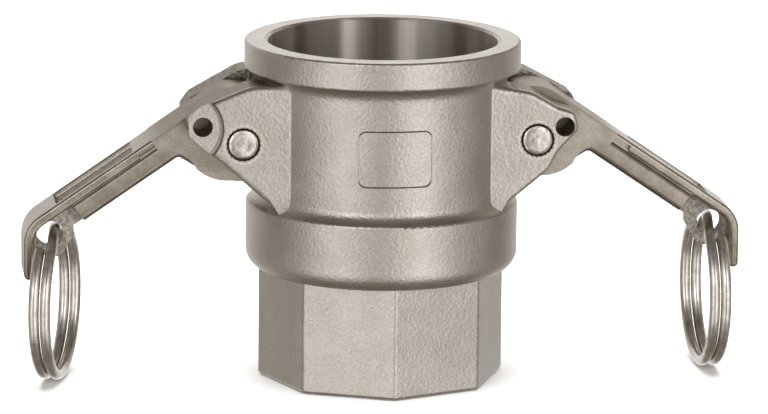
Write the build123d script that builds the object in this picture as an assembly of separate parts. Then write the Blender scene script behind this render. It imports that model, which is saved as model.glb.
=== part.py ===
from build123d import *
import math
import os

os.makedirs("parts", exist_ok=True)

# Cam and groove coupler of the 1 inch size, with a female pipe thread below.
# Z is the flow axis and points out of the socket, z 0 is the threaded end face.
# The two cam arms stand at +X and -X. All lengths are in mm.

# Body casting, heights stacked up from the threaded end
octagon_height = 17.8
collar_height = 10.95
barrel_length = 21.8
rim_height = 4.45
collar_top = octagon_height + collar_height
rim_underside = collar_top + barrel_length
body_height = rim_underside + rim_height

# Body casting, radii built out from the socket and from the thread
socket_radius = 18.55
mouth_chamfer = 0.4
barrel_wall = 1.55
rim_step = 2.2
collar_step = 1.9
barrel_radius = socket_radius + barrel_wall
rim_radius = barrel_radius + rim_step
collar_radius = barrel_radius + collar_step
rim_slope_rise = 0.65
collar_slope_rise = 0.45
rim_rounding = rim_step + 0.2
shoulder_rounding = collar_step
collar_rounding = 3.0
cast_edge = 0.45
thread_bore_radius = 16.7
octagon_wall = 1.76
octagon_circumradius = (thread_bore_radius + octagon_wall) / math.cos(math.pi / 8)
octagon_corner = 0.8
octagon_base_rounding = 0.5

# Flow passage: thread, ledge, gasket groove, socket
ledge_thickness = 3.5
ledge_overhang = 3.3
groove_above_octagon = 2.7
groove_below_collar = 1.75
groove_depth = 1.55
groove_floor = octagon_height + groove_above_octagon
groove_roof = collar_top - groove_below_collar
groove_radius = socket_radius + groove_depth
thread_depth = groove_floor - ledge_thickness
seat_radius = thread_bore_radius - ledge_overhang

# Gasket, flat ring of rectangular section seated on the groove floor
gasket_rim_clearance = 0.25
gasket_top_clearance = 0.15
gasket_setback = 0.1
gasket_edge = 0.25
gasket_outer_radius = groove_radius - gasket_rim_clearance
gasket_inner_radius = seat_radius + gasket_setback
gasket_thickness = groove_roof - groove_floor - gasket_top_clearance

# Pivot pins, placed from the barrel and the collar
pin_offset = 3.5
pin_rise = 11.6
pin_x = barrel_radius + pin_offset
pin_z = collar_top + pin_rise
pin_radius = 2.5
pin_gap = 0.17
pin_gap_depth = 0.6
pin_end_chamfer = 0.15

# Cam arms, drawn from the pin centre: u outwards, v upwards
pin_running_fit = 0.05
arm_slope = 34.2
arm_face = 7.45
plate_thickness = 1.6
rib_floor = 2.42
rib_half_width = 3.8
rib_edge = 0.9
rib_fillet = 0.8
head_half_width = 5.0
lip_half_width = 4.65
neck_foot = 10.0
neck_end = 12.0
neck_underside = 5.1
plate_edge = 0.55
notch_length = 3.1
notch_depth = 0.85
notch_skin = 0.45
rib_end = 28.2
bend_radius = 5.3
lip_edge = 0.75
lip_outer_u = 34.5
lip_tip_v = -23.2
cam_radius = 7.41
heel_radius = 4.85
pocket_start = 15.5
pocket_end = 30.4
pocket_width = 7.5
pocket_depth = 0.7
pocket_corner = 0.5
web_half_width = 1.5
web_reach = 3.8
web_drop = 3.75
eye_u = 30.12
eye_v = -16.35
eye_radius = 2.15

# Ears and cam windows, with room for the arm between them
arm_side_clearance = 0.3
ear_thickness = 6.7
ear_inner_y = head_half_width + arm_side_clearance
ear_outer_y = ear_inner_y + ear_thickness
ear_edge = 0.9
window_room_above = 0.5
window_room_below = 0.94
window_floor = pin_z - cam_radius - window_room_below
window_roof = pin_z + arm_face + window_room_above
clip_hole_radius = 1.58
pad_u = 9.4
pad_v = 2.5
pad_radius = 6.3
pad_depth = 0.7
pad_floor_rounding = 0.85 * pad_depth

# Pull rings, split rings of round wire: two flat coils joined by a step at the eye.
# They are a little longer than the eye is high, so they stand and ride up in it.
wire_radius = 0.87
ring_radius = 11.88
coil_gap = 0.11
coil_turn = 286.0
step_turn = 76.0
ring_lift = 0.65
left_ring_lean = 0.8
right_ring_lean = 0.1
left_ring_yaw = 15.5
right_ring_yaw = 1.5


def rounded_outline(corners):
    """Closed outline of (x, y, rounding) corners as a face."""
    outline = make_face(Polyline(*[(x, y) for x, y, r in corners], close=True))
    for x, y, rounding in corners:
        if rounding > 0:
            nearest = outline.vertices().sort_by_distance((x, y, 0))[0]
            outline = fillet(nearest, rounding)
    return outline


def slab(outline, low_y, high_y):
    """Outline of the XZ plane given a thickness along Y."""
    plate = extrude(Plane.XZ * outline, amount=high_y - low_y)
    return Pos(0, high_y, 0) * plate


def cross_hole(x, z, radius, low_y, high_y):
    """Round tool along Y."""
    return slab(Pos(x, z) * Circle(radius), low_y, high_y)


def through_hole(x, z, radius, half_width):
    """Round tool that leaves a wall of this half width on both sides."""
    return cross_hole(x, z, radius, -half_width - 1, half_width + 1)


def turned(corners):
    """Solid of revolution about Z from (radius, z, rounding) corners."""
    return revolve(Plane.XZ * rounded_outline(corners), Axis.Z)


def polar(radius, degrees):
    angle = math.radians(degrees)
    return (radius * math.cos(angle), radius * math.sin(angle))


# Each ear: side, front or back face, outline about the pin, clip hole centre
ear_foot = [(-5.4, -11.0, 0), (-6.2, -12.4, 0), (-8.2, -12.4, 0)]
front_left_outline = [
    (-8.2, 9.3, 0),
    (-1.2, 9.2, 6.0),
    (6.8, 6.0, 2.0),
    (8.75, 4.3, 1.5),
    (8.6, 1.3, 1.5),
    (2.2, -4.2, 3.0),
]
front_right_outline = [
    (-8.2, 9.0, 0),
    (-1.0, 7.8, 6.0),
    (3.3, 5.3, 2.0),
    (6.2, 4.35, 1.6),
    (6.75, 1.5, 1.6),
    (3.5, -2.0, 2.0),
    (1.9, -5.0, 2.0),
]
back_left_outline = [
    (-8.2, 9.3, 0),
    (-1.2, 9.0, 5.0),
    (6.9, 4.5, 1.8),
    (8.6, 2.2, 1.2),
    (7.4, 0.3, 1.2),
    (2.2, -4.2, 3.0),
]
back_right_outline = [
    (-8.2, 9.3, 0),
    (0.6, 8.2, 4.0),
    (8.2, 4.1, 1.0),
    (9.0, 2.3, 1.0),
    (7.6, 0.5, 1.0),
    (2.2, -4.2, 3.0),
]
ears = [
    (-1, -1, front_left_outline, (6.41, 2.78)),
    (1, -1, front_right_outline, (4.4, 2.1)),
    (-1, 1, back_left_outline, (5.6, 2.3)),
    (1, 1, back_right_outline, (5.5, 2.4)),
]


def make_ear(side, face, corners, hole):
    placed = [(side * (pin_x + u), pin_z + v, r) for u, v, r in corners + ear_foot]
    low_y = ear_inner_y if face > 0 else -ear_outer_y
    ear = slab(rounded_outline(placed), low_y, low_y + ear_outer_y - ear_inner_y)
    rim_edges = []
    for edge in ear.edges():
        middle = edge.center()
        flat = abs(abs(middle.Y) - ear_outer_y) < 0.01
        free = abs(middle.X) > pin_x - 5.3 and middle.Z > pin_z - 10.9
        if flat and free:
            rim_edges.append(edge)
    ear = fillet(rim_edges, ear_edge)
    hole_x = side * (pin_x + hole[0])
    hole_z = pin_z + hole[1]
    return ear - through_hole(hole_x, hole_z, clip_hole_radius, ear_outer_y)


def make_body():
    shell = turned([
        (0, octagon_height, 0),
        (collar_radius, octagon_height, collar_rounding),
        (collar_radius, collar_top, cast_edge),
        (barrel_radius, collar_top + collar_slope_rise, shoulder_rounding),
        (barrel_radius, rim_underside - rim_slope_rise, rim_rounding),
        (rim_radius, rim_underside, cast_edge),
        (rim_radius, body_height, cast_edge),
        (0, body_height, 0),
    ])
    octagon = extrude(RegularPolygon(octagon_circumradius, 8), octagon_height + 1)
    octagon = fillet(octagon.edges().filter_by(Axis.Z), octagon_corner)
    base_edges = octagon.faces().sort_by(Axis.Z)[0].edges()
    octagon = fillet(base_edges, octagon_base_rounding)
    body = shell + octagon
    for side, face, corners, hole in ears:
        body = body + make_ear(side, face, corners, hole)
    passage = turned([
        (0, -1, 0),
        (thread_bore_radius, -1, 0),
        (thread_bore_radius, thread_depth, 0),
        (seat_radius, thread_depth, 0),
        (seat_radius, groove_floor, 0),
        (groove_radius, groove_floor, 0),
        (groove_radius, groove_roof, 0),
        (socket_radius, groove_roof, 0),
        (socket_radius, body_height - mouth_chamfer, 0),
        (socket_radius + mouth_chamfer, body_height, 0),
        (socket_radius + mouth_chamfer, body_height + 1, 0),
        (0, body_height + 1, 0),
    ])
    body = body - passage
    for side in (-1, 1):
        window_width = 2 * (pin_x - socket_radius) + 5
        window_height = window_roof - window_floor
        window = Pos(side * pin_x, 0, window_floor + window_height / 2) * Box(
            window_width, 2 * ear_inner_y, window_height
        )
        body = body - window
        body = body - through_hole(side * pin_x, pin_z, pin_radius, ear_outer_y)
        for face in (-1, 1):
            bottom = face * (ear_outer_y - pin_gap_depth)
            open_end = face * (ear_outer_y + 1)
            low_y = min(bottom, open_end)
            high_y = max(bottom, open_end)
            gap = cross_hole(side * pin_x, pin_z, pin_radius + pin_gap, low_y, high_y)
            body = body - gap
    # Recessed round pad about the clip hole of the front left ear
    pad_floor = -ear_outer_y + pad_depth
    pad = cross_hole(-pin_x - pad_u, pin_z + pad_v, pad_radius, -ear_outer_y - 1, pad_floor)
    pad = fillet(pad.edges().sort_by(Axis.Y)[-1], pad_floor_rounding)
    return body - pad


def make_gasket():
    gasket = turned([
        (gasket_inner_radius, groove_floor, 0),
        (gasket_outer_radius, groove_floor, 0),
        (gasket_outer_radius, groove_floor + gasket_thickness, 0),
        (gasket_inner_radius, groove_floor + gasket_thickness, 0),
    ])
    return chamfer(gasket.edges().filter_by(GeomType.CIRCLE), gasket_edge)


def make_pin():
    pin = cross_hole(0, 0, pin_radius, -ear_outer_y, ear_outer_y)
    return chamfer(pin.edges().filter_by(GeomType.CIRCLE), pin_end_chamfer)


# Handle directions: along the sloping plate, and out of its outer face
along = (math.cos(math.radians(arm_slope)), -math.sin(math.radians(arm_slope)))
outward = (-along[1], along[0])


def handle_point(s, n):
    return (s * along[0] + n * outward[0], s * along[1] + n * outward[1])


def make_head():
    face_angle = 90 - arm_slope
    crest = polar(arm_face, face_angle + 54)
    heel_start = polar(heel_radius, 155)
    heel_end = polar(heel_radius, 190)
    nose = polar(cam_radius, -130.9)
    belly = polar(cam_radius, -80)
    below = polar(cam_radius + 0.73, -57.7)
    under = polar(cam_radius + 1.29, -37.53)
    end_top = handle_point(neck_end, arm_face)
    end_low = handle_point(neck_end, neck_underside)
    crease = handle_point((neck_foot + neck_end) / 2 - 1.6, neck_underside - 1.9)
    profile = make_face([
        Line(end_top, polar(arm_face, face_angle)),
        ThreePointArc(polar(arm_face, face_angle), polar(arm_face, face_angle + 27), crest),
        Line(crest, heel_start),
        ThreePointArc(heel_start, polar(heel_radius, 172), heel_end),
        Line(heel_end, nose),
        ThreePointArc(nose, polar(cam_radius, -105), belly),
        ThreePointArc(belly, below, under),
        ThreePointArc(under, crease, end_low),
        Line(end_low, end_top),
    ])
    for corner, rounding in ((nose, 0.9), (crest, 0.6)):
        nearest = profile.vertices().sort_by_distance((corner[0], corner[1], 0))[0]
        profile = fillet(nearest, rounding)
    head = slab(profile, -head_half_width, head_half_width)
    # Narrower core that fills the neck below the cheeks, down to the rib
    foot = handle_point(neck_foot, rib_floor)
    rib_start = handle_point(neck_end, rib_floor)
    inside = handle_point(neck_foot - 4, rib_floor)
    core = slab(rounded_outline([
        (under[0], under[1], 0),
        (foot[0], foot[1], 0.8),
        (rib_start[0], rib_start[1], 0),
        (end_low[0], end_low[1], 0),
        (inside[0], inside[1], 0),
    ]), -rib_half_width, rib_half_width)
    lower_edges = []
    for edge in core.edges().filter_by(Axis.Y, reverse=True):
        middle = edge.center()
        across = middle.X * along[0] + middle.Z * along[1]
        out = middle.X * outward[0] + middle.Z * outward[1]
        if across > neck_foot - 1.5 and out < rib_floor + 0.2:
            lower_edges.append(edge)
    core = fillet(lower_edges, rib_edge)
    return head + core


def elbow_s(inset, face):
    """Where a face of the plate would meet the lip's face, along the slope."""
    return (lip_outer_u - inset - face * outward[0]) / along[0]


def make_plate():
    inner_face = arm_face - plate_thickness
    lip_inner_u = lip_outer_u - plate_thickness
    start_s = neck_end - 1
    start = handle_point(start_s, arm_face)
    start_inner = handle_point(start_s, inner_face)
    elbow = handle_point(elbow_s(0, arm_face), arm_face)
    elbow_inner = handle_point(elbow_s(plate_thickness, inner_face), inner_face)
    outline = rounded_outline([
        (start[0], start[1], 0),
        (elbow[0], elbow[1], bend_radius),
        (lip_outer_u, lip_tip_v, lip_edge),
        (lip_inner_u, lip_tip_v, lip_edge),
        (elbow_inner[0], elbow_inner[1], bend_radius - plate_thickness),
        (start_inner[0], start_inner[1], 0),
    ])
    plate = slab(outline, -head_half_width, head_half_width)
    # The plate narrows a little towards the lip
    far_s = elbow_s(0, arm_face) + 2 * bend_radius
    for face in (-1, 1):
        wedge = make_face(Polyline(
            (start_s, face * head_half_width),
            (far_s, face * head_half_width),
            (far_s, face * lip_half_width),
            close=True,
        ))
        tilt = Plane(origin=(0, 0, 0), x_dir=(along[0], 0, along[1]),
                     z_dir=(outward[0], 0, outward[1]))
        plate = plate - extrude(tilt * wedge, amount=2 * lip_outer_u, both=True)
    plate = fillet(plate_rim(plate, inner_face, lip_inner_u), plate_edge)
    # Short set-back in both sides next to the head
    for face in (-1, 1):
        notch_height = 2 * (plate_thickness - notch_skin)
        notch = Box(2 * notch_length, 2 * notch_depth, notch_height)
        place = handle_point(neck_end, inner_face)
        turn = Rot(0, arm_slope, 0)
        plate = plate - Pos(place[0], face * head_half_width, place[1]) * turn * notch
    return plate


def plate_rim(plate, inner_face, lip_inner_u):
    """Long edges at the sides of the plate's and the lip's inner face."""
    chosen = []
    for edge in plate.edges():
        middle = edge.center()
        out = middle.X * outward[0] + middle.Z * outward[1]
        at_side = abs(middle.Y) > lip_half_width - 0.5
        on_inner = abs(out - inner_face) < 0.05 or abs(middle.X - lip_inner_u) < 0.05
        bend = edge.geom_type == GeomType.CIRCLE and out < arm_face - 1.2
        if at_side and (on_inner or bend) and edge.length > 2.5:
            chosen.append(edge)
    return chosen


def make_rib():
    inner_face = arm_face - plate_thickness
    flare = rib_half_width + rib_fillet + 0.05
    section = rounded_outline([
        (-rib_half_width, rib_floor, rib_edge),
        (rib_half_width, rib_floor, rib_edge),
        (rib_half_width, inner_face, rib_fillet),
        (flare, inner_face, 0),
        (flare, inner_face + plate_thickness / 4, 0),
        (-flare, inner_face + plate_thickness / 4, 0),
        (-flare, inner_face, 0),
        (-rib_half_width, inner_face, rib_fillet),
    ])
    start = neck_foot - 2
    base = Plane(origin=(start * along[0], 0, start * along[1]), x_dir=(0, 1, 0),
                 z_dir=(along[0], 0, along[1]))
    return extrude(base * section, amount=rib_end - start)


def make_web():
    # Its root lies halfway into the plate and the lip
    sunk = plate_thickness / 2
    top = handle_point(rib_end - 1.5, arm_face - sunk)
    low = handle_point(rib_end - 1.5, rib_floor + 0.3)
    elbow = handle_point(elbow_s(0, arm_face) - 2.05, arm_face - sunk)
    web = rounded_outline([
        (top[0], top[1], 0),
        (low[0], low[1], 0),
        (eye_u - web_reach, eye_v + 2.45, 0.5),
        (eye_u - web_reach, eye_v - 0.15, 0.8),
        (eye_u - 1.62, eye_v - web_drop, 1.2),
        (lip_outer_u - sunk, eye_v - 3.05, 0),
        (lip_outer_u - sunk, eye_v - 0.15, 0),
        (elbow[0], elbow[1], 0),
    ])
    return slab(web, -web_half_width, web_half_width)


def make_arm():
    arm = make_head() + make_plate() + make_rib() + make_web()
    pocket = Box(pocket_end - pocket_start, pocket_width, 2 * pocket_depth)
    pocket = fillet(pocket.edges().filter_by(Axis.Z), pocket_corner)
    centre = handle_point((pocket_start + pocket_end) / 2, arm_face)
    seat = Plane(origin=(centre[0], 0, centre[1]), x_dir=(along[0], 0, along[1]),
                 z_dir=(outward[0], 0, outward[1]))
    arm = arm - seat * pocket
    arm = arm - through_hole(eye_u, eye_v, eye_radius, web_half_width)
    return arm - through_hole(0, 0, pin_radius + pin_running_fit, head_half_width)


def make_ring(yaw, lean):
    """Left ring about its eye, its step crosses the eye from coil to coil."""
    offset = wire_radius + coil_gap / 2
    coils = []
    for side, start in ((-1, -step_turn / 2 - coil_turn), (1, step_turn / 2)):
        section = Plane.XZ * (Pos(ring_radius, side * offset) * Circle(wire_radius))
        section = Rot(0, 0, start) * section
        coils.append(revolve(section, Axis.Z, revolution_arc=coil_turn))
    points = []
    for k in range(7):
        share = k / 6
        angle = math.radians(step_turn * (share - 0.5))
        rise = offset * (2 * (3 * share**2 - 2 * share**3) - 1)
        points.append((ring_radius * math.cos(angle), ring_radius * math.sin(angle), rise))
    half = math.radians(step_turn / 2)
    leave = (math.sin(half), math.cos(half), 0)
    arrive = (-math.sin(half), math.cos(half), 0)
    path = Spline(*points, tangents=(leave, arrive))
    step = sweep(Plane(path @ 0, z_dir=path % 0) * Circle(wire_radius), path=path)
    low = ring_lift - ring_radius
    hang = Plane(origin=(lean, 0, low), x_dir=(0, 0, 1), z_dir=(1, 0, 0))
    ring = hang.location * (coils[0] + step + coils[1])
    return Rot(0, 0, -yaw) * ring


arm = Pos(pin_x, 0, pin_z) * make_arm()
eye_x = pin_x + eye_u
eye_z = pin_z + eye_v
left_ring = Pos(-eye_x, 0, eye_z) * make_ring(left_ring_yaw, left_ring_lean)
right_ring = Pos(-eye_x, 0, eye_z) * make_ring(right_ring_yaw, right_ring_lean)
right_ring = mirror(right_ring, about=Plane.YZ)

nodes = {
    "coupler_body": make_body(),
    "gasket": make_gasket(),
    "right_cam_arm": arm,
    "left_cam_arm": Rot(0, 0, 180) * arm,
    "right_pivot_pin": Pos(pin_x, 0, pin_z) * make_pin(),
    "left_pivot_pin": Pos(-pin_x, 0, pin_z) * make_pin(),
    "right_pull_ring": right_ring,
    "left_pull_ring": left_ring,
}

for name, shape in nodes.items():
    export_step(shape, "parts/" + name + ".step")
    print(name, round(shape.volume, 1), shape.is_valid, len(shape.solids()))
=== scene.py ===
import bpy
import bmesh
import math
from mathutils import Matrix, Vector


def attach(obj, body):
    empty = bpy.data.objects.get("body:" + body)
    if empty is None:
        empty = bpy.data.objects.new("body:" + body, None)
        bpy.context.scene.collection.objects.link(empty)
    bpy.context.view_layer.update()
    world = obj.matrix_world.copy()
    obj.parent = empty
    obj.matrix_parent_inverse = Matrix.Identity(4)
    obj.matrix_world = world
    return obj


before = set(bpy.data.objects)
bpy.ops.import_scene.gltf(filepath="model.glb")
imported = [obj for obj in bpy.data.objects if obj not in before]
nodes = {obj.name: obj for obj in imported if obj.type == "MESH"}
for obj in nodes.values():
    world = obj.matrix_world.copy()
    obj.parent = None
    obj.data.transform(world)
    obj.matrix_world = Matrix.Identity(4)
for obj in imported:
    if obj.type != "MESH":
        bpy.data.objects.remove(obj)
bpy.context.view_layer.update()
mm = 0.001
print("frame loaded:", len(nodes), "nodes")


# Camera, set where the photograph was taken from

cameraValues = {
    "azimuth": -7.13,  # degrees round the flow axis, 0 looks along +Y
    "elevation": 12.44,
    "roll": 0.55,
    "distance": 834.0,  # mm
    "targetRight": 0.44,
    "targetHeight": 27.2,
    "lens": 241.35,
}


def placeCamera(v):
    a, e, r = (math.radians(v[k]) for k in ("azimuth", "elevation", "roll"))
    back = Vector((math.sin(a) * math.cos(e), -math.cos(a) * math.cos(e), math.sin(e)))
    right = Vector((math.cos(a), math.sin(a), 0))
    up = back.cross(right)
    turnedRight = math.cos(r) * right + math.sin(r) * up
    turnedUp = math.cos(r) * up - math.sin(r) * right
    target = right * v["targetRight"] + Vector((0, 0, v["targetHeight"]))
    place = (target + back * v["distance"]) * mm
    camera = bpy.data.objects.new("camera", bpy.data.cameras.new("camera"))
    bpy.context.scene.collection.objects.link(camera)
    rows = Matrix((turnedRight, turnedUp, back)).transposed().to_4x4()
    camera.matrix_world = Matrix.Translation(place) @ rows
    camera.data.sensor_width = 36
    camera.data.lens = v["lens"]
    camera.data.clip_start = 0.05
    camera.data.clip_end = 20
    bpy.context.scene.camera = camera


placeCamera(cameraValues)
print("camera placed")


# Material building

def newMaterial(name):
    material = bpy.data.materials.new(name)
    material.use_nodes = True
    tree = material.node_tree
    shader = tree.nodes["Principled BSDF"]
    return material, tree, shader


def node(tree, kind, inputs=None, **settings):
    made = tree.nodes.new(kind)
    for key, value in settings.items():
        setattr(made, key, value)
    for key, value in (inputs or {}).items():
        if isinstance(value, bpy.types.NodeSocket):
            tree.links.new(value, made.inputs[key])
        else:
            made.inputs[key].default_value = value
    return made


def maths(tree, operation, a, b=0.0):
    return node(tree, "ShaderNodeMath", {0: a, 1: b}, operation=operation).outputs[0]


def minus(tree, a, b):
    return maths(tree, "SUBTRACT", a, b)


def product(tree, first, *others):
    made = first
    for other in others:
        made = maths(tree, "MULTIPLY", made, other)
    return made


def length(tree, vector):
    return node(tree, "ShaderNodeVectorMath", {0: vector}, operation="LENGTH").outputs["Value"]


def distance(tree, across, rise):
    # How far a point of the XZ plane lies from the place it was measured from
    return length(tree, node(tree, "ShaderNodeCombineXYZ", {"X": across, "Y": rise}).outputs[0])


def blendColour(tree, share, a, b, mode="MIX"):
    made = node(tree, "ShaderNodeMix", {"Factor": share}, data_type="RGBA", blend_type=mode)
    for key, value in ((6, a), (7, b)):
        if isinstance(value, bpy.types.NodeSocket):
            tree.links.new(value, made.inputs[key])
        else:
            made.inputs[key].default_value = (*value, 1)
    return made.outputs[2]


def blendNumber(tree, share, a, b):
    made = node(tree, "ShaderNodeMix", {"Factor": share, 2: a, 3: b}, data_type="FLOAT")
    return made.outputs[0]


def millimetres(tree):
    # Object coordinates in millimetres
    place = node(tree, "ShaderNodeTexCoord").outputs["Object"]
    return node(tree, "ShaderNodeMapping", {"Vector": place, "Scale": (1000, 1000, 1000)}).outputs[0]


def noise(tree, vector, scale, detail=2.0, roughness=0.5):
    values = {"Vector": vector, "Scale": scale, "Detail": detail, "Roughness": roughness}
    return node(tree, "ShaderNodeTexNoise", values).outputs[0]


def steps(tree, value, low, high, lowOut=0.0, highOut=1.0):
    # From lowOut to highOut as the value goes from low to high, which may also fall
    values = {0: value, 1: low, 2: high, 3: lowOut, 4: highOut}
    return node(tree, "ShaderNodeMapRange", values, interpolation_type="SMOOTHSTEP").outputs[0]


def between(tree, value, low, high, soft=0.12):
    # 1 where the value lies between low and high
    rising = steps(tree, value, low - soft, low + soft)
    falling = steps(tree, value, high - soft, high + soft, 1.0, 0.0)
    return product(tree, rising, falling)


def bumps(tree, shader, layers):
    # layers: (height socket, strength, distance in mm), stacked
    last = None
    for height, strength, depth in layers:
        values = {"Height": height, "Strength": strength, "Distance": depth * mm}
        if last is not None:
            values["Normal"] = last
        last = node(tree, "ShaderNodeBump", values).outputs[0]
    tree.links.new(last, shader.inputs["Normal"])


def metal(tree, shader, colour, rough, tangent=None):
    tree.links.new(colour, shader.inputs["Base Color"])
    tree.links.new(rough, shader.inputs["Roughness"])
    shader.inputs["Metallic"].default_value = 1.0
    if tangent:
        around = node(tree, "ShaderNodeTangent", direction_type="RADIAL", axis=tangent)
        tree.links.new(around.outputs[0], shader.inputs["Tangent"])


bodyFinish = {
    "light": (0.475, 0.443, 0.408),
    "dark": (0.43, 0.393, 0.35),
    "peel": ((0.93, 0.925, 0.915), (1.06, 1.06, 1.065)),  # darkest and lightest share of a grain
    # colour of painted glints: small bright specks on the blasted skin
    "glintSpeck": (0.82, 0.79, 0.74),
    # the bore is painted with light and dark stripes that stand in for streaked reflections
    "machined": (0.50, 0.46, 0.415),  # wall of the bore
    "darkStreak": (0.35, 0.313, 0.272),
    "streaks": 0.3,  # stripes per mm round the bore
    "boreRadius": 18.7,  # mm
    "boreFloor": 26.4,
    # painted shade on the top of the ears
    "crownShade": (0.25, 0.217, 0.183),  # top of the ears
    "glancing": (0.72, 0.68, 0.64),  # what it mirrors at a low angle
    "crownFrom": 5.7,  # mm to the side
    "crownTo": 10.8,
    "hollow": (0.16, 0.14, 0.115),  # rough cast between the ears
    "hollowFrom": 29.3,  # mm, height
    "hollowTo": 50.0,
    "grain": 2.2,  # bumps per mm of the blasted skin
    "grainHeight": 0.1,
    "roughness": 0.42,
    "machinedRoughness": 0.36,
    "pin": (23.6, 40.35, 2.67),  # mm, distance from the axis, height, radius of the gap
    "teeth": 22,  # notches round the gap
    "tooth": 0.07,
    # painted shade in the gap round each pin, and a painted bright halo outside it
    "gap": (0.09, 0.08, 0.07),
    "paintedHalo": (0.78, 0.75, 0.7),
    "frontFace": -11.0,  # mm, outer face of the front ears
    "pad": (-33.0, 42.85, 5.95),  # mm, the recess in the front left ear, middle of its step
    "padShadow": (0.15, 0.13, 0.11),
    # a painted highlight line down each front ear, at the edge where it leaves the barrel
    "highlightLine": 16.1,  # mm from the axis, where the ears leave the barrel
    "highlightLineFrom": 31.5,
    "highlightLineTo": 49.0,
    "highlightLineColour": (0.86, 0.84, 0.8),
    "turned": 1.0,  # how far the reflections of the bore stretch upwards
}


def castBodyMaterial(v):
    material, tree, shader = newMaterial("blastedCasting")
    place = millimetres(tree)
    fine = noise(tree, place, v["grain"], 3.0, 0.6)
    pebble = node(tree, "ShaderNodeTexVoronoi", {"Vector": place, "Scale": 1.9, "Smoothness": 0.6},
                  feature="SMOOTH_F1").outputs["Distance"]
    broad = noise(tree, place, 0.16, 4.0, 0.55)
    mottle = noise(tree, place, 1.1, 5.0, 0.75)
    flat = node(tree, "ShaderNodeVectorMath", {0: place, 1: (1, 1, 0)}, operation="MULTIPLY").outputs[0]
    radius = length(tree, flat)
    parts = node(tree, "ShaderNodeSeparateXYZ", {0: place})
    height = parts.outputs["Z"]
    aside = maths(tree, "ABSOLUTE", parts.outputs["Y"])
    away = maths(tree, "ABSOLUTE", parts.outputs["X"])
    inside = product(tree, steps(tree, radius, v["boreRadius"] + 0.25, v["boreRadius"]),
                     steps(tree, height, v["boreFloor"], v["boreFloor"] + 0.4))
    outside = minus(tree, 1.0, inside)

    # Blasted skin
    # Painted glints: small bright specks, which are also made less rough
    glintSpeck = steps(tree, noise(tree, place, 4.2, 1.0, 0.5), 0.62, 0.74)
    peel = steps(tree, noise(tree, place, 2.6, 4.0, 0.7), 0.36, 0.64)
    skin = blendColour(tree, steps(tree, broad, 0.35, 0.68), v["dark"], v["light"])
    skin = blendColour(tree, 1.0, skin, blendColour(tree, peel, *v["peel"]), "MULTIPLY")
    skin = blendColour(tree, product(tree, glintSpeck, 0.2), skin, v["glintSpeck"])

    # Painted shade on the tops of the ears: darker, browner colour and a dimmed glancing reflection. Rough
    # cast faces that look at the arms get a dark and light mottle
    crownShade = product(tree, between(tree, aside, v["crownFrom"], v["crownTo"], 0.35),
                    steps(tree, height, 37.0, 41.0), steps(tree, away, 19.3, 20.3),
                    steps(tree, height, v["hollowTo"] + 0.2, v["hollowTo"] - 0.2))
    skin = blendColour(tree, product(tree, crownShade, 0.85), skin, v["crownShade"])
    tree.links.new(blendColour(tree, crownShade, (1, 1, 1), v["glancing"]), shader.inputs["Specular Tint"])
    rear = product(tree, crownShade, steps(tree, parts.outputs["Y"], 5.0, 6.0))
    hollow = maths(tree, "MAXIMUM", steps(tree, aside, 5.75, 5.45), product(tree, rear, 0.7))
    hollow = product(tree, hollow, steps(tree, away, 20.6, 21.2),
                     between(tree, height, v["hollowFrom"], v["hollowTo"]))
    # Dark and light mottle on the faces inside the slot between the ears and on the rear ear tops
    slotMottle = blendColour(tree, steps(tree, mottle, 0.4, 0.6), v["hollow"], v["light"])
    skin = blendColour(tree, hollow, skin, slotMottle)

    # Painted shade in a dark notched ring round each pin, with a painted bright halo outside it
    pinAway, pinHeight, gapRadius = v["pin"]
    across = minus(tree, away, pinAway)
    rise = minus(tree, height, pinHeight)
    turn = product(tree, maths(tree, "ARCTAN2", rise, across), v["teeth"])
    notch = product(tree, maths(tree, "SINE", turn), v["tooth"])
    edge = minus(tree, minus(tree, distance(tree, across, rise), notch), gapRadius)
    paintedHalo = between(tree, edge, 0.28, 0.5, 0.1)
    skin = blendColour(tree, product(tree, paintedHalo, 0.4), skin, v["paintedHalo"])
    skin = blendColour(tree, steps(tree, edge, 0.1, -0.04), skin, v["gap"])

    # Shadow in the step of the recess, and a painted highlight line down each front ear
    front = steps(tree, parts.outputs["Y"], v["frontFace"] + 0.8, v["frontFace"])
    padX, padHeight, padRadius = v["pad"]
    toPad = distance(tree, minus(tree, parts.outputs["X"], padX), minus(tree, height, padHeight))
    step = between(tree, toPad, padRadius - 0.3, padRadius + 0.45, 0.14)
    skin = blendColour(tree, product(tree, step, product(tree, front, 0.7)), skin, v["padShadow"])
    highlightLine = product(tree, between(tree, away, v["highlightLine"] - 0.1, v["highlightLine"] + 0.12, 0.08),
                   between(tree, height, v["highlightLineFrom"], v["highlightLineTo"], 0.8), product(tree, front, 0.5))
    skin = blendColour(tree, highlightLine, skin, v["highlightLineColour"])

    # Painted reflection streaks run down the bore as darker and lighter stripes; tool marks are bumps
    streak = noise(tree, flat, v["streaks"], 2.0, 0.5)
    bore = blendColour(tree, steps(tree, streak, 0.32, 0.66), v["darkStreak"], v["machined"])
    turning = node(tree, "ShaderNodeTexWave", {"Vector": place, "Scale": 0.5, "Distortion": 0.4},
                   bands_direction="Z").outputs["Fac"]

    rough = blendNumber(tree, glintSpeck, v["roughness"], v["roughness"] - 0.12)
    rough = blendNumber(tree, inside, rough, v["machinedRoughness"])
    metal(tree, shader, blendColour(tree, inside, skin, bore), rough, "Z")
    tree.links.new(product(tree, inside, v["turned"]), shader.inputs["Anisotropic"])
    shader.inputs["Anisotropic Rotation"].default_value = 0.25
    bumps(tree, shader, [
        (product(tree, fine, outside), 0.55, v["grainHeight"]),
        (product(tree, pebble, outside), 0.35, v["grainHeight"]),
        (product(tree, turning, inside), 0.06, 0.02),
        (product(tree, mottle, hollow), 0.9, 0.3),
    ])
    return material


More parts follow.
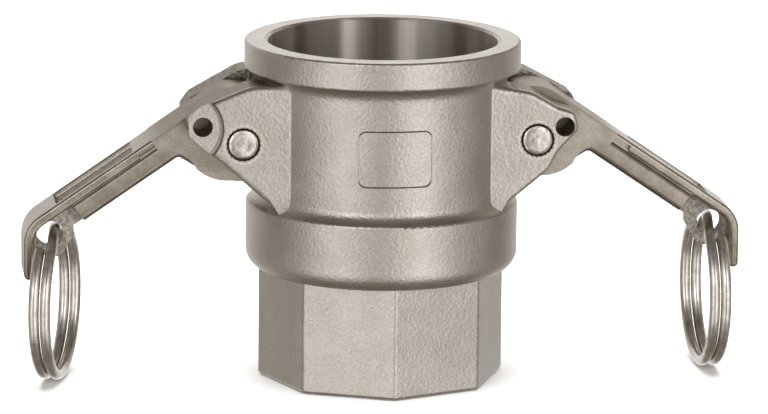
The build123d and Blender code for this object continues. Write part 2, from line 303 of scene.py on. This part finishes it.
armFinish = {
    "light": (0.38, 0.343, 0.295),
    "dark": (0.28, 0.246, 0.202),
    "peel": ((0.88, 0.87, 0.86), (1.1, 1.1, 1.1)),  # darkest and lightest share of a grain
    "pit": (0.24, 0.21, 0.18),
    # painted shade: the rib darkens towards its lower edge
    "undersideShade": (0.68, 0.6664, 0.6324),  # share of the colour left at the rib's lower edge
    # painted shade on the top of the head
    "crownShade": (0.26, 0.228, 0.193),  # top of the head
    "glancing": (0.72, 0.68, 0.64),  # what it mirrors at a low angle
    "pocket": (0.25, 0.222, 0.185),
    "pocketLight": (0.48, 0.44, 0.385),
    # painted highlight on the pocket's side wall, painted shade along its edge
    "pocketWallHighlight": (0.85, 0.81, 0.76),
    "pocketEdgeShade": (0.16, 0.14, 0.115),
    "web": (0.30, 0.272, 0.235),
    "webLight": (0.50, 0.46, 0.405),
    "roughness": 0.34,
    "sandyRoughness": 0.6,
    "pivot": (23.6, 40.35),  # mm, distance from the axis and height
    "slope": 34.2,  # degrees
    "face": 7.45,  # mm over the pivot, at right angles to the handle
    "pocketFrom": 15.5,  # mm along the handle
    "pocketTo": 30.4,
    "pocketHalf": 3.75,  # mm to the side
    "webFrom": 26.7,  # mm beyond the pivot, measured outwards
    "webHalf": 1.6,
}


def armMaterial(v):
    material, tree, shader = newMaterial("tumbledCasting")
    place = millimetres(tree)
    parts = node(tree, "ShaderNodeSeparateXYZ", {0: place})
    aside = maths(tree, "ABSOLUTE", parts.outputs["Y"])

    # Place on the arm: u outwards, w upwards, along the handle and out from it
    u = minus(tree, maths(tree, "ABSOLUTE", parts.outputs["X"]), v["pivot"][0])
    w = minus(tree, parts.outputs["Z"], v["pivot"][1])
    cosine = math.cos(math.radians(v["slope"]))
    sine = math.sin(math.radians(v["slope"]))
    along = minus(tree, product(tree, u, cosine), product(tree, w, sine))
    out = maths(tree, "ADD", product(tree, u, sine), product(tree, w, cosine))

    # Pocket and eye web are left as sand cast them
    face, half = v["face"], v["pocketHalf"]
    pocket = between(tree, along, v["pocketFrom"], v["pocketTo"])
    floor = product(tree, between(tree, out, face - 0.85, face - 0.5),
                    between(tree, aside, -1.0, half - 0.45), pocket)
    # Masks for a painted highlight on the pocket's side wall and a painted shade line on its edge
    wall = product(tree, between(tree, out, face - 0.75, face - 0.2, 0.08),
                   between(tree, aside, half - 0.25, half + 0.45), pocket)
    edge = product(tree, between(tree, out, face - 0.16, face + 0.3, 0.08),
                   between(tree, aside, half - 0.09, half + 0.15, 0.08), pocket)
    web = product(tree, steps(tree, u, v["webFrom"] - 3.2, v["webFrom"] - 2.6),
                  between(tree, aside, -1.0, v["webHalf"]), steps(tree, out, 5.9, 5.2))
    sandy = maths(tree, "MAXIMUM", floor, web)

    broad = noise(tree, place, 0.3, 4.0, 0.6)
    fine = noise(tree, place, 3.4, 3.0, 0.6)
    coarse = noise(tree, place, 1.5, 4.0, 0.7)
    skin = blendColour(tree, steps(tree, broad, 0.3, 0.7), v["dark"], v["light"])
    # Painted shade: the rib is darker towards its lower edge
    low = product(tree, steps(tree, out, 5.6, 2.2), steps(tree, along, 9.0, 12.5))
    skin = blendColour(tree, low, skin, blendColour(tree, 1.0, skin, v["undersideShade"], "MULTIPLY"))

    # Painted shade on top of the head and the cam: darker, browner skin and a dimmed glancing reflection
    crownShade = product(tree, steps(tree, out, 6.9, 7.3), steps(tree, along, 15.0, 8.0))
    cam = product(tree, steps(tree, w, 2.0, 3.5), steps(tree, u, 9.0, 7.0))
    crownShade = maths(tree, "MAXIMUM", crownShade, cam)
    skin = blendColour(tree, crownShade, skin, v["crownShade"])
    tree.links.new(blendColour(tree, crownShade, (1, 1, 1), v["glancing"]), shader.inputs["Specular Tint"])

    peel = steps(tree, noise(tree, place, 3.0, 4.0, 0.7), 0.36, 0.64)
    skin = blendColour(tree, 1.0, skin, blendColour(tree, peel, *v["peel"]), "MULTIPLY")
    pits = steps(tree, noise(tree, place, 1.3, 2.0, 0.5), 0.34, 0.26)
    skin = blendColour(tree, product(tree, pits, 0.35), skin, v["pit"])
    grit = steps(tree, coarse, 0.42, 0.58)
    skin = blendColour(tree, web, skin, blendColour(tree, grit, v["web"], v["webLight"]))
    skin = blendColour(tree, floor, skin, blendColour(tree, grit, v["pocket"], v["pocketLight"]))
    # Painted highlight on the pocket's side wall and a painted shade line along its edge
    skin = blendColour(tree, product(tree, wall, 0.9), skin, v["pocketWallHighlight"])
    skin = blendColour(tree, product(tree, edge, 0.8), skin, v["pocketEdgeShade"])
    rough = blendNumber(tree, broad, v["roughness"] - 0.06, v["roughness"] + 0.1)
    metal(tree, shader, skin, blendNumber(tree, sandy, rough, v["sandyRoughness"]))
    bumps(tree, shader, [
        (fine, 0.3, 0.03),
        (broad, 0.2, 0.12),
        (product(tree, coarse, sandy), 0.9, 0.25),
    ])
    return material


ringFinish = {
    "colour": (0.63, 0.60, 0.56),
    "stain": (0.48, 0.445, 0.40),
    "roughness": 0.29,
}


def ringMaterial(v):
    material, tree, shader = newMaterial("brightWire")
    place = millimetres(tree)
    smear = noise(tree, place, 0.8, 3.0, 0.6)
    tone = blendColour(tree, steps(tree, smear, 0.3, 0.7), v["stain"], v["colour"])
    metal(tree, shader, tone, blendNumber(tree, smear, v["roughness"] - 0.04, v["roughness"] + 0.08))
    bumps(tree, shader, [(noise(tree, place, 5.0, 2.0), 0.08, 0.02)])
    return material


pinFinish = {
    "colour": (0.60, 0.57, 0.54),
    "stain": (0.42, 0.385, 0.35),
    "roughness": 0.3,
    "turned": 0.6,  # how far its reflections follow the turning marks
    "pivot": 23.6,
    "height": 40.35,
    "radius": 2.5,
    "dome": 0.4,  # mm, how far the rim of the end falls away
    "marks": 26.0,  # turning marks, in radians per mm
}


def pinMaterial(v):
    material, tree, shader = newMaterial("turnedPin")
    place = millimetres(tree)
    parts = node(tree, "ShaderNodeSeparateXYZ", {0: place})
    across = minus(tree, maths(tree, "ABSOLUTE", parts.outputs["X"]), v["pivot"])
    radius = distance(tree, across, minus(tree, parts.outputs["Z"], v["height"]))
    rings = maths(tree, "SINE", product(tree, radius, v["marks"]))
    dome = maths(tree, "POWER", maths(tree, "DIVIDE", radius, v["radius"]), 6.0)
    blotch = noise(tree, place, 0.7, 4.0, 0.6)
    tone = blendColour(tree, steps(tree, blotch, 0.35, 0.65), v["stain"], v["colour"])
    rough = blendNumber(tree, blotch, v["roughness"] - 0.05, v["roughness"] + 0.12)
    metal(tree, shader, tone, rough, "Y")
    shader.inputs["Anisotropic"].default_value = v["turned"]
    bumps(tree, shader, [
        (minus(tree, 1.0, dome), 1.0, v["dome"]),
        (rings, 0.12, 0.02),
        (noise(tree, place, 0.9, 3.0), 0.6, 0.25),
    ])
    return material


rubberFinish = {
    "colour": (0.012, 0.012, 0.013),
    "dust": (0.035, 0.034, 0.033),
    "roughness": 0.5,
    "dustRoughness": 0.68,
}


def rubberMaterial(v):
    material, tree, shader = newMaterial("nitrileRubber")
    place = millimetres(tree)
    dust = noise(tree, place, 0.9, 4.0, 0.6)
    tone = blendColour(tree, steps(tree, dust, 0.4, 0.75), v["colour"], v["dust"])
    tree.links.new(tone, shader.inputs["Base Color"])
    rough = blendNumber(tree, dust, v["roughness"], v["dustRoughness"])
    tree.links.new(rough, shader.inputs["Roughness"])
    bumps(tree, shader, [(noise(tree, place, 3.0, 3.0), 0.25, 0.04)])
    return material


def dress(piece, material):
    # Every slot of the piece gets the material
    if not piece.material_slots:
        piece.data.materials.append(material)
    for slot in piece.material_slots:
        slot.material = material


bodySteel = castBodyMaterial(bodyFinish)
armSteel = armMaterial(armFinish)
wireSteel = ringMaterial(ringFinish)
pinSteel = pinMaterial(pinFinish)
rubber = rubberMaterial(rubberFinish)
dressing = {
    "coupler_body": bodySteel,
    "gasket": rubber,
    "left_cam_arm": armSteel,
    "right_cam_arm": armSteel,
    "left_pivot_pin": pinSteel,
    "right_pivot_pin": pinSteel,
    "left_pull_ring": wireSteel,
    "right_pull_ring": wireSteel,
}
for name, material in dressing.items():
    dress(nodes[name], material)
print("materials made")


# New pieces

def meshFrom(bm, name):
    mesh = bpy.data.meshes.new(name)
    bm.to_mesh(mesh)
    bm.free()
    return mesh


def addPiece(name, bm, material, body):
    piece = bpy.data.objects.new(name, meshFrom(bm, name))
    bpy.context.scene.collection.objects.link(piece)
    piece.data.materials.append(material)
    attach(piece, body)


def raiseRegion(bm, faces, move):
    # The faces become the bottom of a solid whose top is moved
    raised = bmesh.ops.extrude_face_region(bm, geom=faces)
    top = [g for g in raised["geom"] if isinstance(g, bmesh.types.BMVert)]
    bmesh.ops.translate(bm, verts=top, vec=move)
    bmesh.ops.recalc_face_normals(bm, faces=bm.faces)


threadValues = {
    "pitch": 2.209,  # mm
    "root": 16.66,
    "crest": 15.25,
    "crestFlat": 0.3,
    "footShare": 0.47,  # half the ridge's foot, as a share of the pitch
    "low": 0.5,
    "high": 16.6,
    "fadeLow": 2.0,  # mm over which the ridge rises at each end
    "fadeHigh": 3.0,
    "stepsPerTurn": 60,
    "taper": 1 / 32,  # radius lost per mm of depth
}


def pipeThread(v):
    # A ridge wound up the wall, fading out at both ends
    bm = bmesh.new()
    half = v["pitch"] * v["footShare"]
    turns = (v["high"] - v["low"] - 2 * half) / v["pitch"]
    start = v["low"] + half
    flat = v["crestFlat"] / 2
    shape = [(v["root"], -half), (v["crest"], -flat), (v["crest"], flat), (v["root"], half)]
    corners = [bm.verts.new((r * mm, 0, (start + z) * mm)) for r, z in shape]
    section = bm.faces.new(corners)
    count = round(turns * v["stepsPerTurn"])
    climb = Vector((0, 0, turns * v["pitch"] / count * mm))
    bmesh.ops.spin(bm, geom=[section, *section.edges, *corners], cent=(0, 0, 0), axis=(0, 0, 1),
                   dvec=climb, angle=turns * 2 * math.pi, steps=count, use_merge=False)
    for corner in bm.verts:
        radius = math.hypot(corner.co.x, corner.co.y)
        depth = corner.co.z / mm
        standing = (v["root"] - radius / mm) / (v["root"] - v["crest"])
        fade = min(1.0, (depth - v["low"] + 0.4) / v["fadeLow"], (v["high"] - depth + 0.4) / v["fadeHigh"])
        wanted = v["root"] - standing * (v["root"] - v["crest"]) * max(0.05, fade)
        wanted -= standing * v["taper"] * (depth - v["low"])
        corner.co.x *= wanted * mm / radius
        corner.co.y *= wanted * mm / radius
    bmesh.ops.recalc_face_normals(bm, faces=bm.faces)
    addPiece("pipe_thread", bm, bodySteel, "coupler")


pipeThread(threadValues)

panelValues = {
    "barrel": 20.1,  # mm, radius
    "low": 34.6,
    "high": 43.75,
    "aside": -0.27,
    "halfWidth": 6.05,
    "corner": 1.4,
    "ridge": 0.1,  # half its width
    "rise": 0.09,
    "foot": 0.05,  # how deep it is sunk in the barrel
    "shadow": (0.08, 0.07, 0.06),
}


def panelMaterial(v):
    # Painted shadow along the upper and the lower line
    material, tree, shader = newMaterial("panelLine")
    place = millimetres(tree)
    height = node(tree, "ShaderNodeSeparateXYZ", {0: place}).outputs["Z"]
    middle = (v["low"] + v["high"]) / 2
    off = maths(tree, "ABSOLUTE", minus(tree, height, middle))
    lines = steps(tree, off, v["high"] - middle - 1.3, v["high"] - middle - 0.4)
    worn = blendColour(tree, noise(tree, place, 2.0, 3.0), bodyFinish["dark"], bodyFinish["light"])
    tree.links.new(blendColour(tree, lines, worn, v["shadow"]), shader.inputs["Base Color"])
    shader.inputs["Roughness"].default_value = 0.5
    shader.inputs["Metallic"].default_value = 1.0
    return material


def panelRidge(v):
    # Raised outline of a bare rounded panel, laid on the front of the barrel
    bm = bmesh.new()
    middle = (v["low"] + v["high"]) / 2
    tall = (v["high"] - v["low"]) / 2
    bmesh.ops.create_grid(bm, x_segments=1, y_segments=1, size=1)
    bmesh.ops.scale(bm, vec=(v["halfWidth"], tall, 1), verts=bm.verts)
    bmesh.ops.bevel(bm, geom=bm.verts[:], offset=v["corner"], segments=8, profile=0.5,
                    affect="VERTICES", material=-1)
    panel = bm.faces[:]
    bmesh.ops.inset_individual(bm, faces=panel, thickness=v["ridge"] * 2)
    bmesh.ops.delete(bm, geom=panel, context="FACES")
    long = [e for e in bm.edges if e.calc_length() > 2]
    bmesh.ops.subdivide_edges(bm, edges=long, cuts=12, use_grid_fill=True)
    raiseRegion(bm, bm.faces[:], (0, 0, v["rise"] + v["foot"]))
    for corner in bm.verts:
        across, up, out = corner.co
        angle = (across + v["aside"]) / v["barrel"]
        radius = v["barrel"] - v["foot"] + out
        corner.co = Vector((radius * math.sin(angle), -radius * math.cos(angle), middle + up)) * mm
    bmesh.ops.recalc_face_normals(bm, faces=bm.faces)
    addPiece("panel_outline", bm, panelMaterial(v), "coupler")


panelRidge(panelValues)

rootValues = {
    # mm from the pivot, outwards and upwards: where the rib's underside runs on to the web
    "outline": [(24.0, -13.39), (26.36, -14.98), (26.7, -14.6), (26.7, -13.3), (24.9, -12.9)],
    "halfWidth": 1.46,
    "pivot": (23.6, 40.35),
    "edge": 0.12,
}


def webRoot(v, side, name, body):
    bm = bmesh.new()
    pivotAway, pivotHeight = v["pivot"]
    corners = [bm.verts.new((side * (pivotAway + u) * mm, -v["halfWidth"] * mm, (pivotHeight + w) * mm))
               for u, w in v["outline"]]
    raiseRegion(bm, [bm.faces.new(corners)], (0, 2 * v["halfWidth"] * mm, 0))
    bmesh.ops.bevel(bm, geom=bm.edges[:], offset=v["edge"] * mm, segments=2, profile=0.5,
                    affect="EDGES", material=-1)
    addPiece(name, bm, armSteel, body)


webRoot(rootValues, -1, "left_web_root", "left_arm")
webRoot(rootValues, 1, "right_web_root", "right_arm")
print("new pieces made")


# Stage and light

stageValues = {
    "size": 6.0,  # metres
    "floorDepth": 0.0002,
    "floor": (0.95, 0.95, 0.95),
    # bearing from the camera in degrees, brightness of the wall there
    "walls": [(-180, 1.25), (-155, 1.1), (-135, 0.68), (-112, 0.36), (-88, 0.45), (-72, 0.65), (-62, 1.1),
              (-52, 1.75), (-30, 1.75), (-22, 1.1), (-15, 0.35), (-6, 0.25), (2, 0.5), (10, 1.5),
              (18, 2.15), (34, 2.15), (42, 1.3), (54, 0.95), (78, 0.5), (100, 0.3), (125, 0.55),
              (150, 1.0), (180, 1.25)],
    "zenith": 0.2,
    "nadir": 0.28,
    "tint": (1.0, 1.0, 1.0),  # of walls with a brightness of 1 or more
    "darkTint": (1.0, 0.895, 0.745),
}


def stageFloor(v):
    bm = bmesh.new()
    bmesh.ops.create_grid(bm, x_segments=1, y_segments=1, size=v["size"] / 2)
    floor = bpy.data.objects.new("floor", meshFrom(bm, "floor"))
    bpy.context.scene.collection.objects.link(floor)
    floor.location.z = -v["floorDepth"]
    material, tree, shader = newMaterial("paleFloor")
    shader.inputs["Base Color"].default_value = (*v["floor"], 1)
    shader.inputs["Roughness"].default_value = 0.9
    floor.data.materials.append(material)
    floor.visible_glossy = False  # the photographed metal mirrors dark walls, not the floor


def skyLight(v):
    # Two soft bright walls before the part, dark at both sides, paler behind
    world = bpy.data.worlds.new("studio")
    bpy.context.scene.world = world
    world.use_nodes = True
    tree = world.node_tree
    background = tree.nodes["Background"]
    direction = node(tree, "ShaderNodeTexCoord").outputs["Generated"]
    parts = node(tree, "ShaderNodeSeparateXYZ", {0: direction})
    bearing = maths(tree, "ARCTAN2", parts.outputs["X"], product(tree, parts.outputs["Y"], -1.0))
    turn = node(tree, "ShaderNodeMapRange", {0: bearing, 1: -math.pi, 2: math.pi}).outputs[0]
    ramp = node(tree, "ShaderNodeValToRGB", {0: turn})
    ramp.color_ramp.interpolation = "B_SPLINE"
    stops = ramp.color_ramp.elements
    brightest = max(b for _, b in v["walls"])
    for number, (degrees, brightness) in enumerate(v["walls"]):
        place = (degrees + 180) / 360
        stop = stops[0] if number == 0 else stops.new(place)
        stop.position = place
        share = min(1.0, brightness)
        tint = [share * a + (1 - share) * b for a, b in zip(v["tint"], v["darkTint"])]
        stop.color = (*(brightness / brightest * t for t in tint), 1)
    stops.remove(stops[-1])
    zenith, nadir = (tuple(v[k] / brightest * t for t in v["darkTint"]) for k in ("zenith", "nadir"))
    tone = blendColour(tree, steps(tree, parts.outputs["Z"], 0.42, 0.75), ramp.outputs[0], zenith)
    tone = blendColour(tree, steps(tree, parts.outputs["Z"], -0.5, -0.8), tone, nadir)
    tree.links.new(tone, background.inputs["Color"])
    background.inputs["Strength"].default_value = brightest


# place and aim in metres, size in metres, watts, whether the metal mirrors it
lightValues = {
    "softboxLeft": ((-0.62, -1.0, 0.55), (0, 0, 0.03), (0.4, 0.5), 2.0, True),
    "softboxRight": ((0.55, -1.0, 0.5), (0, 0, 0.03), (0.3, 0.5), 1.2, True),
    "overhead": ((0.0, 0.15, 0.9), (0, 0.15, 0), (0.9, 1.3), 20.0, False),
}


def areaLight(name, place, aim, size, watts, mirrored):
    data = bpy.data.lights.new(name, "AREA")
    data.shape = "RECTANGLE"
    data.size, data.size_y = size
    data.energy = watts
    lamp = bpy.data.objects.new(name, data)
    bpy.context.scene.collection.objects.link(lamp)
    lamp.location = place
    lamp.rotation_euler = (Vector(aim) - Vector(place)).to_track_quat("-Z", "Y").to_euler()
    lamp.visible_glossy = mirrored


stageFloor(stageValues)
skyLight(stageValues)
for name, values in lightValues.items():
    areaLight(name, *values)
bpy.context.scene.view_settings.view_transform = "Standard"
print("stage and lights set")
